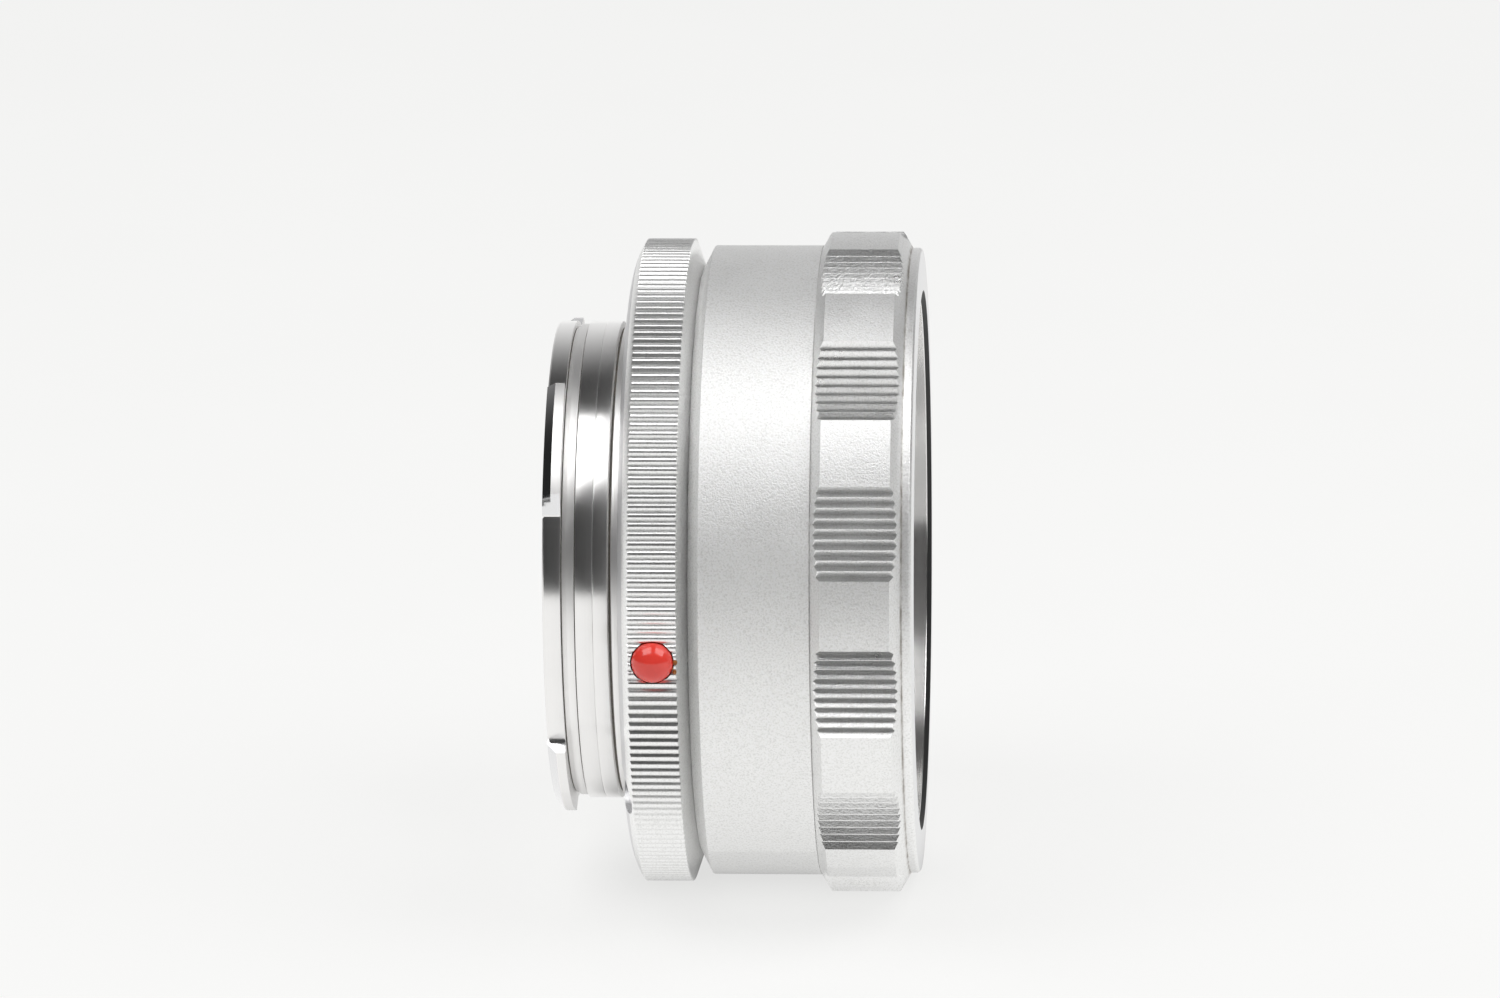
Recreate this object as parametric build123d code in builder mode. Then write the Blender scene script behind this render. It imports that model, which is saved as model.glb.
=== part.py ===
from build123d import *
from math import cos, radians, sin, sqrt
import os

# Lens mount adapter lying on its side: the optical axis is the X axis,
# the camera bayonet faces -X and the lens socket faces +X.
# X is the distance in millimetres from the camera flange face.
# Angles are in degrees round the axis, from +Y towards +Z.

# Fits between the pieces
fit_gap = 0.04
end_gap = 0.15

# Boss and lugs of the bayonet
boss_radius = 20.9
boss_wall_thickness = 2.3
boss_relief_width = 1.0
boss_relief_depth = 0.2
boss_edge_width = 0.15
bayonet_depth = 6.7
collar_width = 0.8
collar_depth = 0.25
lug_groove_width = 0.45
lug_groove_depth = 0.45
lug_height = 1.15
lug_thickness = 1.55
lug_bevel_width = 0.75
lug_ramp_angle = 5.0
lug_angles = ((20.5, 59.5), (119.5, 149.0), (212.0, 252.0), (303.5, 332.5))

# Flange of the bayonet, and the rounded rear edge it shares with the mount ring
flange_thickness = 1.6
flange_flat_width = 3.58
flange_edge_width = 2.52
dome_radius = 6.6
pin_notch_radius = 2.6
pin_notch_inset_width = 1.8
pin_notch_floor_thickness = 0.5
pin_notch_angle = 213.3

# Screws of the bayonet, one in each gap between two lugs
screw_radius = 0.7
screw_head_radius = 1.2
screw_boss_gap = 0.1
screw_grip_length = 1.9
screw_slot_width = 0.35
screw_slot_depth = 0.3

# Knurled mount ring
ring_length = 6.02
ring_chamfer_length = 0.86
ring_lip_width = 1.16
ring_web_thickness = 2.16
ring_bore_step_width = 1.4
knurl_depth = 0.22
knurl_teeth = 218

# Index bead
bead_radius = 1.76
bead_height = 1.25
bead_floor_thickness = 0.17
bead_angle = 181.7

# Barrel
barrel_length = 10.41
barrel_step_depth = 0.61
shoulder_length = 1.0
groove_depth = 1.95
spigot_step_width = 1.6
spigot_wall_thickness = 1.6

# Grip ring with concave finger hollows
grip_length = 7.76
grip_height = 1.45
grip_side_depth = 0.15
grip_chamfer_length = 0.92
grip_seat_depth = 1.95
hollow_count = 13
hollow_chord_width = 8.0
hollow_curve_radius = 21.3
hollow_grooves = 9
hollow_groove_depth = 0.44
down_angle = 270.0

# Front ring with the lens socket and the lens thread
rim_length = 0.96
rim_step_depth = 0.2
rim_edge_width = 0.2
front_wall_thickness = 1.3
socket_wall_thickness = 1.1
socket_depth = 3.05
socket_chamfer_width = 0.3
thread_radius = 18.97
thread_length = 4.05
thread_chamfer_width = 0.4

# Radii that follow, from the boss outwards
boss_bore = boss_radius - boss_wall_thickness
collar_radius = boss_radius - collar_depth
relief_radius = boss_radius - boss_relief_depth
groove_floor_radius = boss_radius - lug_groove_depth
lug_radius = boss_radius + lug_height
screw_circle = boss_radius + screw_boss_gap + screw_head_radius
dome_start = boss_radius + flange_flat_width
flange_radius = dome_start + flange_edge_width
pin_notch_circle = flange_radius - pin_notch_inset_width
knurl_radius = flange_radius + ring_lip_width
barrel_radius = knurl_radius - barrel_step_depth
groove_bottom_radius = barrel_radius - groove_depth
spigot_radius = groove_bottom_radius - spigot_step_width
barrel_bore = spigot_radius - spigot_wall_thickness
mount_ring_bore = boss_bore + ring_bore_step_width
grip_radius = barrel_radius + grip_height
grip_side_radius = barrel_radius - grip_side_depth
grip_bore = barrel_radius - grip_seat_depth
rim_radius = barrel_radius - rim_step_depth
ring_spigot_radius = grip_bore - front_wall_thickness
socket_radius = ring_spigot_radius - socket_wall_thickness

# Places along the axis that follow, from the flange face forwards
lug_front = -bayonet_depth + lug_thickness
collar_start = lug_front + lug_groove_width
collar_end = collar_start + collar_width
pin_notch_depth = flange_thickness - pin_notch_floor_thickness
screw_length = flange_thickness + screw_grip_length
spigot_start = flange_thickness + ring_web_thickness
knurl_end = ring_length - ring_chamfer_length
grip_start = ring_length + barrel_length
grip_end = grip_start + grip_length
front_face = grip_end + rim_length
thread_seat = front_face - socket_depth
thread_start = thread_seat - thread_length
ring_spigot_end = thread_start - end_gap

# The grip lies on the two edges beside the hollow that points straight down
hollow_half_chord = hollow_chord_width / 2
land_edge_height = sqrt(grip_radius**2 - hollow_half_chord**2)


def polar(radius, angle):
    """Point of a cross section at a radius and an angle."""
    return (radius * cos(radians(angle)), radius * sin(radians(angle)))


def dome(radius):
    """X of the rounded rear edge at a radius."""
    return dome_radius - sqrt(dome_radius**2 - (radius - dome_start) ** 2)


def dome_arc(inner, outer):
    """Three points on the rounded rear edge, from an inner to an outer radius."""
    return [(dome(radius), radius) for radius in (inner, (inner + outer) / 2, outer)]


def lug_outline(start, end):
    """Corners of a lug seen along the axis: steep at its start, ramped at its end."""
    middle = (start + end) / 2
    foot = boss_radius - lug_bevel_width
    reach = lug_radius / cos(radians((end - start) / 4)) + lug_bevel_width
    return [
        polar(foot, start),
        polar(reach, start),
        polar(reach, middle),
        polar(reach, end),
        polar(lug_radius, end),
        polar(boss_radius, end + lug_ramp_angle),
        polar(foot, end + lug_ramp_angle),
        polar(foot, middle),
    ]


def hollow_outline():
    """Zigzag floor of one finger hollow that faces along local x, and its open side."""
    pitch = hollow_chord_width / hollow_grooves
    chord_sag = sqrt(hollow_curve_radius**2 - hollow_half_chord**2)
    outside = grip_radius + hollow_groove_depth
    points = [(outside, -hollow_half_chord)]
    for step in range(2 * hollow_grooves + 1):
        across = -hollow_half_chord + step * pitch / 2
        crest = land_edge_height - (sqrt(hollow_curve_radius**2 - across**2) - chord_sag)
        points.append((crest - hollow_groove_depth * (step % 2), across))
    points.append((outside, hollow_half_chord))
    return points


def knurl_outline():
    """Corners of the knurl seen along the axis: crests and valleys by turns."""
    step = 180 / knurl_teeth
    corners = []
    for tooth in range(knurl_teeth):
        corners.append(polar(knurl_radius, 2 * tooth * step))
        corners.append(polar(knurl_radius - knurl_depth, (2 * tooth + 1) * step))
    return corners


# One screw halfway along each gap, from the end of a ramp to the next lug
screw_angles = []
for index, (start, end) in enumerate(lug_angles):
    next_start = lug_angles[(index + 1) % len(lug_angles)][0]
    gap = (next_start - end - lug_ramp_angle) % 360
    screw_angles.append(end + lug_ramp_angle + gap / 2)

screw_points = [polar(screw_circle, angle) for angle in screw_angles]
screw_head_height = screw_head_radius - screw_radius
pin_notch_point = polar(pin_notch_circle, pin_notch_angle)
bead_x = (dome(knurl_radius) + knurl_end) / 2
bead_plane = Plane(
    origin=(bead_x, 0, 0),
    x_dir=(1, 0, 0),
    z_dir=(0, cos(radians(bead_angle)), sin(radians(bead_angle))),
)
bead_seat = flange_radius + fit_gap + bead_floor_thickness

# Ring with a bevelled rear edge, cut down to the four lugs
with BuildPart() as lugs:
    with BuildSketch(Plane.XZ):
        with BuildLine():
            Polyline(
                (-bayonet_depth, boss_bore),
                (-bayonet_depth, lug_radius - lug_bevel_width),
                (-bayonet_depth + lug_bevel_width, lug_radius),
                (lug_front, lug_radius),
                (lug_front, boss_bore),
                close=True,
            )
        make_face()
    revolve(axis=Axis.X)
    with BuildSketch(Plane.YZ.offset(-bayonet_depth)):
        for start, end in lug_angles:
            with BuildLine():
                Polyline(*lug_outline(start, end), close=True)
            make_face()
    extrude(amount=lug_thickness, mode=Mode.INTERSECT)

# Bayonet: stepped boss with the lugs, and a flange with a rounded edge
with BuildPart() as bayonet:
    with BuildSketch(Plane.XZ):
        with BuildLine():
            Polyline(
                (dome(flange_radius), flange_radius),
                (flange_thickness, flange_radius),
                (flange_thickness, boss_bore),
                (-bayonet_depth, boss_bore),
                (-bayonet_depth, boss_radius - boss_edge_width),
                (-bayonet_depth + boss_edge_width, boss_radius),
                (lug_front, boss_radius),
                (lug_front, groove_floor_radius),
                (collar_start, groove_floor_radius),
                (collar_start, collar_radius),
                (collar_end, collar_radius),
                (collar_end, boss_radius),
                (-boss_relief_width, boss_radius),
                (-boss_relief_width, relief_radius),
                (0, relief_radius),
                (0, dome_start),
            )
            ThreePointArc(*dome_arc(dome_start, flange_radius))
        make_face()
    revolve(axis=Axis.X)
    add(lugs.part)
    # Notch for the camera's locking pin
    with BuildSketch(Plane.YZ):
        with Locations(pin_notch_point):
            Circle(pin_notch_radius)
    extrude(amount=pin_notch_depth, mode=Mode.SUBTRACT)
    # Countersunk screw holes
    with BuildSketch(Plane.YZ):
        with Locations(*screw_points):
            Circle(screw_radius + fit_gap)
    extrude(amount=flange_thickness, mode=Mode.SUBTRACT)
    with BuildSketch(Plane.YZ):
        with Locations(*screw_points):
            Circle(screw_head_radius + fit_gap)
    extrude(amount=screw_head_height, taper=45, mode=Mode.SUBTRACT)

bayonet.part.label = "bayonet"

# Four slotted countersunk screws
with BuildPart() as bayonet_screws:
    with BuildSketch(Plane.YZ):
        with Locations(*screw_points):
            Circle(screw_radius)
    extrude(amount=screw_length)
    with BuildSketch(Plane.YZ):
        with Locations(*screw_points):
            Circle(screw_head_radius)
    extrude(amount=screw_head_height, taper=45)
    with BuildSketch(Plane.YZ):
        for angle in screw_angles:
            with PolarLocations(screw_circle, 1, start_angle=angle):
                Rectangle(screw_slot_width, 3 * screw_head_radius)
    extrude(amount=screw_slot_depth, mode=Mode.SUBTRACT)

bayonet_screws.part.label = "bayonet_screws"

# Mount ring: rounded rear edge, knurled rim, steep front chamfer, recess for the flange
blank_radius = knurl_radius + knurl_depth
chamfer_slope = (ring_length - knurl_end) / (knurl_radius - groove_bottom_radius)
flange_recess = flange_radius + fit_gap
spigot_recess = spigot_radius + fit_gap

with BuildPart() as mount_ring:
    with BuildSketch(Plane.XZ):
        with BuildLine():
            ThreePointArc(*dome_arc(flange_recess, blank_radius))
            Polyline(
                (dome(blank_radius), blank_radius),
                (knurl_end - (blank_radius - knurl_radius) * chamfer_slope, blank_radius),
                (ring_length, groove_bottom_radius),
                (ring_length, spigot_recess),
                (spigot_start, spigot_recess),
                (spigot_start, mount_ring_bore),
                (flange_thickness, mount_ring_bore),
                (flange_thickness, flange_recess),
                (dome(flange_recess), flange_recess),
            )
        make_face()
    revolve(axis=Axis.X)
    with BuildSketch(Plane.YZ):
        with BuildLine():
            Polyline(*knurl_outline(), close=True)
        make_face()
    extrude(amount=ring_length, mode=Mode.INTERSECT)
    with BuildSketch(Plane.YZ):
        with Locations(pin_notch_point):
            Circle(pin_notch_radius)
    extrude(amount=pin_notch_depth, mode=Mode.SUBTRACT)
    # Tapped holes for the screws
    with BuildSketch(Plane.YZ.offset(flange_thickness)):
        with Locations(*screw_points):
            Circle(screw_radius + fit_gap)
    extrude(amount=spigot_start - flange_thickness, mode=Mode.SUBTRACT)
    # Seat of the index bead
    with BuildSketch(bead_plane.offset(bead_seat)):
        Circle(bead_radius + fit_gap)
    extrude(amount=knurl_radius + knurl_depth - bead_seat, mode=Mode.SUBTRACT)

mount_ring.part.label = "mount_ring"

# Index bead: round stem under a spherical cap
bead_sphere = (bead_radius**2 + bead_height**2) / (2 * bead_height)
bead_profile_plane = Plane(
    origin=bead_plane.origin,
    x_dir=bead_plane.x_dir,
    z_dir=bead_plane.y_dir * -1,
)

with BuildPart() as index_bead:
    with BuildSketch(bead_profile_plane):
        with BuildLine():
            Polyline(
                (0, knurl_radius + bead_height),
                (0, bead_seat),
                (bead_radius, bead_seat),
                (bead_radius, knurl_radius),
            )
            RadiusArc(
                (bead_radius, knurl_radius),
                (0, knurl_radius + bead_height),
                -bead_sphere,
            )
        make_face()
    revolve(axis=Axis(bead_plane.origin, bead_plane.z_dir))

index_bead.part.label = "index_bead"

# Barrel: rear spigot in the mount ring, sloping shoulder, seat of the grip ring
with BuildPart() as barrel:
    with BuildSketch(Plane.XZ):
        with BuildLine():
            Polyline(
                (spigot_start + end_gap, barrel_bore),
                (spigot_start + end_gap, spigot_radius),
                (ring_length, spigot_radius),
                (ring_length, groove_bottom_radius),
                (ring_length + shoulder_length, barrel_radius),
                (grip_start, barrel_radius),
                (grip_start, grip_bore),
                (grip_end, grip_bore),
                (grip_end, ring_spigot_radius),
                (ring_spigot_end, ring_spigot_radius),
                (ring_spigot_end, barrel_bore),
                close=True,
            )
        make_face()
    revolve(axis=Axis.X)

barrel.part.label = "barrel"

# Grip ring: chamfered ring with ridged finger hollows, one of them straight down
with BuildPart() as grip_ring:
    with BuildSketch(Plane.XZ):
        with BuildLine():
            Polyline(
                (grip_start, grip_bore + fit_gap),
                (grip_start, grip_side_radius),
                (grip_start + grip_chamfer_length, grip_radius),
                (grip_end - grip_chamfer_length, grip_radius),
                (grip_end, grip_side_radius),
                (grip_end, grip_bore + fit_gap),
                close=True,
            )
        make_face()
    revolve(axis=Axis.X)
    with BuildSketch(Plane.YZ.offset(grip_start)):
        with BuildLine():
            Polyline(*hollow_outline(), close=True)
        hollow = make_face(mode=Mode.PRIVATE)
        with PolarLocations(0, hollow_count, start_angle=down_angle):
            add(hollow)
    extrude(amount=grip_end - grip_start, mode=Mode.SUBTRACT)

grip_ring.part.label = "grip_ring"

# Front ring: rim, open socket, seat of the lens and its threaded bore
with BuildPart() as front_ring:
    with BuildSketch(Plane.XZ):
        with BuildLine():
            Polyline(
                (grip_end, rim_radius),
                (front_face - rim_edge_width, rim_radius),
                (front_face, rim_radius - rim_edge_width),
                (front_face, socket_radius + socket_chamfer_width),
                (front_face - socket_chamfer_width, socket_radius),
                (thread_seat, socket_radius),
                (thread_seat, thread_radius + thread_chamfer_width),
                (thread_seat - thread_chamfer_width, thread_radius),
                (thread_start, thread_radius),
                (thread_start, ring_spigot_radius - fit_gap),
                (grip_end, ring_spigot_radius - fit_gap),
                close=True,
            )
        make_face()
    revolve(axis=Axis.X)

front_ring.part.label = "front_ring"

os.makedirs("parts", exist_ok=True)
export_step(bayonet.part, "parts/bayonet.step")
export_step(bayonet_screws.part, "parts/bayonet_screws.step")
export_step(mount_ring.part, "parts/mount_ring.step")
export_step(index_bead.part, "parts/index_bead.step")
export_step(barrel.part, "parts/barrel.step")
export_step(grip_ring.part, "parts/grip_ring.step")
export_step(front_ring.part, "parts/front_ring.step")
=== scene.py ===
from math import atan, atan2, cos, hypot, pi, radians, sin, sqrt, tau

import bmesh
import bpy
from mathutils import Matrix, Vector


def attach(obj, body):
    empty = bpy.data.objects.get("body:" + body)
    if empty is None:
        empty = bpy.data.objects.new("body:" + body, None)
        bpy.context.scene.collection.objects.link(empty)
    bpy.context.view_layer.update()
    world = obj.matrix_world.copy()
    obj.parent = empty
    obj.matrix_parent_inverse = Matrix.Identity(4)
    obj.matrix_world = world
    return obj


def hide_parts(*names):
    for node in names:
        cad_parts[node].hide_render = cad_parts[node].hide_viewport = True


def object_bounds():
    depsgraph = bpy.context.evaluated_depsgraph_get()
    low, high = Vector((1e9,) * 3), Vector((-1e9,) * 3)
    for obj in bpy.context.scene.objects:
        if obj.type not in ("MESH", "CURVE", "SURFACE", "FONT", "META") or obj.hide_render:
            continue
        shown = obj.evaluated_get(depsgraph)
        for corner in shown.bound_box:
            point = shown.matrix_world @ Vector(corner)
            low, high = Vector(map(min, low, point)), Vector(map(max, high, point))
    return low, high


bl_info = {
    "name": "Lens Mount Adapter",
    "version": (1, 0, 0),
    "blender": (4, 5, 0),
    "location": "View3D > Sidebar > Adapter",
    "description": "Dresses the lens mount adapter: turned rings, knurl, finger hollows and studio",
    "category": "Object",
}

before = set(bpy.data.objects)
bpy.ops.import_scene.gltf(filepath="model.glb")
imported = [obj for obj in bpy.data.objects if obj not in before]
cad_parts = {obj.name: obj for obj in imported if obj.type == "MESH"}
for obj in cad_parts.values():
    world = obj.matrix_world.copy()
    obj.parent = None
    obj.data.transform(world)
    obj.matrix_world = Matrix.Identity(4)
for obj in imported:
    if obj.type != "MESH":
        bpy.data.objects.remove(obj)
cad_low, cad_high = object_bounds()

MM = 0.001
ROUND_STEPS = 384
# Angles in degrees round the X axis, from +Y towards +Z.
LUG_ANGLES = ((20.5, 59.5), (119.5, 149.0), (212.0, 252.0), (303.5, 332.5))
LUG_RAMP = 5.0
NOTCH_ANGLE = 213.3
SEAM_DIRT = "#7A6A55"
# Soft boxes: their directions from the adapter, in right, up and towards the camera.
SOFT_BOXES = {
    "soft_box_left": (-0.44, 0.745, 0.493),
    "soft_box_right": (0.55, 0.695, 0.46),
}
SOFT_BOX_WATTS = 3.1
SOFT_BOX_WIDTH = 0.6
SOFT_BOX_HEIGHT = 0.52
SOFT_BOX_DISTANCE = 0.8


def length(name, description, millimetres):
    """A length property, written in millimetres and kept in metres."""
    return bpy.props.FloatProperty(
        name=name,
        description=description,
        default=millimetres * MM,
        min=0.0,
        precision=5,
        unit="LENGTH",
    )


def colour(name, description, code):
    """A colour property from an sRGB hex value."""
    return bpy.props.FloatVectorProperty(
        name=name,
        description=description,
        default=linear(code),
        size=3,
        min=0.0,
        max=1.0,
        subtype="COLOR",
    )


def linear(code):
    """Linear colour of an sRGB hex value."""
    shares = [int(code[place : place + 2], 16) / 255 for place in (1, 3, 5)]
    return [s / 12.92 if s <= 0.04045 else ((s + 0.055) / 1.055) ** 2.4 for s in shares]


class BayonetSizes(bpy.types.PropertyGroup):
    """Sizes of the camera bayonet."""

    boss_radius: length("Boss radius", "Outside of the boss", 20.9)
    boss_bore: length("Boss bore", "Inside of the boss", 18.6)
    depth: length("Depth", "From the flange face to the end of the boss", 6.7)
    lug_radius: length("Lug radius", "Outside of the lugs", 22.05)
    lug_thickness: length("Lug thickness", "Lugs along the axis", 1.55)
    lug_bevel: length("Lug bevel", "Slanted rear edge of the lugs", 0.75)
    flange_radius: length("Flange radius", "Outside of the flange", 27.0)
    flange_thickness: length("Flange thickness", "Flange along the axis", 1.6)
    dome_start: length("Dome start", "Radius where the flange face starts to curve", 24.48)
    dome_radius: length("Dome radius", "Curve of the flange's edge", 6.6)
    screw_circle: length("Screw circle", "Radius of the circle of screws", 22.2)
    screw_radius: length("Screw radius", "Shank of a screw", 0.7)
    screw_head: length("Screw head", "Radius of a screw's head", 1.2)
    notch_circle: length("Notch circle", "Distance of the pin notch from the axis", 25.2)
    notch_radius: length("Notch radius", "Round notch for the locking pin", 2.6)
    notch_depth: length("Notch depth", "Notch below the flange face", 1.1)


class RingSizes(bpy.types.PropertyGroup):
    """Sizes of the knurled mount ring and its bead."""

    knurl_radius: length("Knurl radius", "Crests of the knurl", 28.16)
    knurl_depth: length("Knurl depth", "Crest to valley", 0.22)
    knurl_teeth: bpy.props.IntProperty(
        name="Knurl teeth",
        description="Ridges round the ring",
        default=218,
        min=12,
    )
    ring_length: length("Ring length", "From the flange face to the V-groove", 6.02)
    chamfer_length: length("Chamfer length", "Steep front edge along the axis", 0.86)
    groove_radius: length("Groove radius", "Bottom of the V-groove", 25.6)
    spigot_radius: length("Spigot radius", "Recess for the barrel", 24.0)
    spigot_start: length("Spigot start", "Floor of that recess", 3.76)
    bore: length("Ring bore", "Inside of the ring", 20.0)
    bead_radius: length("Bead radius", "Round index bead", 1.76)
    bead_height: length("Bead height", "Bead above the knurl", 1.25)
    bead_gap: length("Bead gap", "Seat beside the bead, filled with old cement", 0.11)
    bead_seat: length("Bead seat", "Floor under the bead, from the axis", 27.21)
    bead_angle: bpy.props.FloatProperty(
        name="Bead angle",
        description="Place of the bead round the axis",
        default=radians(181.7),
        subtype="ANGLE",
    )


class TubeSizes(bpy.types.PropertyGroup):
    """Sizes of the barrel, the grip ring and the front ring."""

    barrel_radius: length("Barrel radius", "Outside of the barrel", 27.55)
    barrel_bore: length("Barrel bore", "Inside of the barrel", 22.4)
    shoulder_length: length("Shoulder length", "Sloping shoulder behind the V-groove", 1.0)
    grip_start: length("Grip start", "Rear side of the grip ring", 16.43)
    grip_end: length("Grip end", "Front side of the grip ring", 24.19)
    grip_radius: length("Grip radius", "Lands of the grip ring", 29.0)
    grip_side: length("Grip side", "Foot of the grip ring's chamfers", 27.4)
    grip_chamfer: length("Grip chamfer", "Chamfers along the axis", 0.92)
    grip_bore: length("Grip bore", "Seat of the grip ring", 25.6)
    hollow_count: bpy.props.IntProperty(
        name="Hollow count",
        description="Finger hollows round the grip ring",
        default=13,
        min=3,
    )
    hollow_grooves: bpy.props.IntProperty(
        name="Grooves in a hollow",
        description="V-grooves across one hollow",
        default=9,
        min=1,
    )
    hollow_chord: length("Hollow chord", "Width of a hollow", 8.0)
    hollow_curve: length("Hollow curve", "Radius of a hollow's floor", 21.3)
    groove_depth: length("Groove depth", "V-grooves below the floor", 0.44)
    ridge_round: length("Ridge rounding", "Worn top of the ridges between two grooves", 0.07)
    rim_radius: length("Rim radius", "Outside of the front rim", 27.35)
    front_face: length("Front face", "Front end of the adapter", 25.15)
    front_spigot: length("Front spigot", "Part of the front ring inside the barrel", 24.3)
    socket_radius: length("Socket radius", "Open socket round the lens", 23.2)
    thread_seat: length("Thread seat", "Face that the lens seats on", 22.1)
    thread_start: length("Thread start", "Rear end of the lens thread", 18.05)
    thread_radius: length("Thread radius", "Crests of the lens thread", 18.97)
    thread_pitch: length("Thread pitch", "Rise of the lens thread in a turn", 0.977)
    thread_depth: length("Thread depth", "Crest to root", 0.5)


class AdapterColours(bpy.types.PropertyGroup):
    """Colours of the finishes."""

    satin: colour("Satin chrome", "Bead-blasted chrome plate", "#FEFEFD")
    polished: colour("Polished chrome", "Turned and polished chrome plate", "#FDFCFB")
    rubbed: colour("Rubbed chrome", "Chrome plate of the lugs and flat faces, dulled by use", "#E9E9EA")
    steel: colour("Screw steel", "Bare screws", "#B9B7B3")
    black: colour("Black paint", "Matt paint inside the tube", "#161616")
    red: colour("Red enamel", "Index bead", "#FF4A3F")
    lacquer: colour("Amber lacquer", "Drops of cement beside the bead", "#A8682A")
    # The seat's dark brown is partly old cement and partly painted shade of the narrow gap round the
    # bead.
    cement: colour("Dark cement", "Old cement in the bead's seat", "#33261B")
    # This grey is painted shade in the boss's narrow grooves.
    painted_groove_shade: colour("Old dirt", "Grey dirt in the boss's grooves", "#6E6A64")
    floor: colour("Floor", "Pale paper floor", "#FEFEFD")


class AdapterSettings(bpy.types.PropertyGroup):
    """All sizes and colours of the adapter."""

    bayonet: bpy.props.PointerProperty(type=BayonetSizes)
    ring: bpy.props.PointerProperty(type=RingSizes)
    tube: bpy.props.PointerProperty(type=TubeSizes)
    colours: bpy.props.PointerProperty(type=AdapterColours)


def add(tree, kind, inputs=None, **settings):
    """A new node with its settings, input values and links."""
    node = tree.nodes.new(kind)
    for name, value in settings.items():
        setattr(node, name, value)
    for name, value in (inputs or {}).items():
        if isinstance(value, bpy.types.NodeSocket):
            tree.links.new(value, node.inputs[name])
        else:
            node.inputs[name].default_value = value
    return node


def new_material(name):
    """An empty node material and its tree."""
    material = bpy.data.materials.new(name)
    material.use_nodes = True
    material.node_tree.nodes.clear()
    return material, material.node_tree


def per_metre(millimetres):
    """Texture scale whose pattern repeats at a real size."""
    return 1 / (millimetres * MM)


def object_place(tree):
    """Place on the object, in metres."""
    return add(tree, "ShaderNodeTexCoord").outputs["Object"]


def noise(tree, place, millimetres, detail, roughness=0.5):
    """Noise with a grain of a real size."""
    inputs = {
        "Vector": place,
        "Scale": per_metre(millimetres),
        "Detail": detail,
        "Roughness": roughness,
    }
    return add(tree, "ShaderNodeTexNoise", inputs).outputs["Fac"]


def remap(tree, value, source, target, **settings):
    """A value carried from one range to another and held at its ends."""
    inputs = {
        "Value": value,
        "From Min": source[0],
        "From Max": source[1],
        "To Min": target[0],
        "To Max": target[1],
    }
    return add(tree, "ShaderNodeMapRange", inputs, **settings).outputs["Result"]


def maths(tree, operation, *values):
    """The result of an operation on one to three values."""
    return add(tree, "ShaderNodeMath", dict(enumerate(values)), operation=operation).outputs[0]


def tint(tree, rgb, share):
    """A colour times a share."""
    inputs = {0: (*rgb,), "Scale": share}
    return add(tree, "ShaderNodeVectorMath", inputs, operation="SCALE").outputs["Vector"]


def relief(tree, height, strength, millimetres):
    """Normals of a fine relief."""
    inputs = {"Height": height, "Strength": strength, "Distance": millimetres * MM}
    return add(tree, "ShaderNodeBump", inputs).outputs["Normal"]


def surface(tree, inputs):
    """Ends a material with its surface."""
    shader = add(tree, "ShaderNodeBsdfPrincipled", inputs)
    add(tree, "ShaderNodeOutputMaterial", {"Surface": shader.outputs[0]})


def seam_dirt(tree, place, metal, seam):
    """Brown grime in the seam beside the grip, in short broken runs."""
    along = add(tree, "ShaderNodeSeparateXYZ", {"Vector": place}).outputs["X"]
    away = maths(tree, "ABSOLUTE", maths(tree, "SUBTRACT", along, seam))
    near = remap(tree, away, (0.03 * MM, 0.14 * MM), (1.0, 0.0))
    runs = remap(tree, noise(tree, place, 1.4, 3.0), (0.4, 0.7), (0.15, 0.65))
    inputs = {
        "Factor": maths(tree, "MULTIPLY", near, runs),
        6: metal,
        7: (*linear(SEAM_DIRT), 1.0),
    }
    return add(tree, "ShaderNodeMix", inputs, data_type="RGBA").outputs[2]


def satin_chrome(name, rgb, dull, grain, seam=None):
    """Chrome plate on bead-blasted brass: a soft grey sheen with a fine sparkle from its pits."""
    material, tree = new_material(name)
    place = object_place(tree)
    # The real pits are about 0.05 mm: they are drawn at 0.17 mm, or the render would not show them.
    pits = noise(tree, place, 0.17, 2.0, 0.6)
    patches = noise(tree, place, 6.0, 4.0, 0.6)
    cloudy = remap(tree, patches, (0.3, 0.7), (0.97, 1.0))
    pitted = remap(tree, pits, (0.3, 0.56), (0.87, 1.04))
    metal = tint(tree, rgb, maths(tree, "MULTIPLY", cloudy, pitted))
    if seam is not None:
        metal = seam_dirt(tree, place, metal, seam)
    surface(
        tree,
        {
            "Base Color": metal,
            "Metallic": 1.0,
            "Roughness": remap(tree, patches, (0.3, 0.7), (dull - 0.03, dull + 0.03)),
            "Normal": relief(tree, pits, 1.0, grain),
        },
    )
    return material


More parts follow.
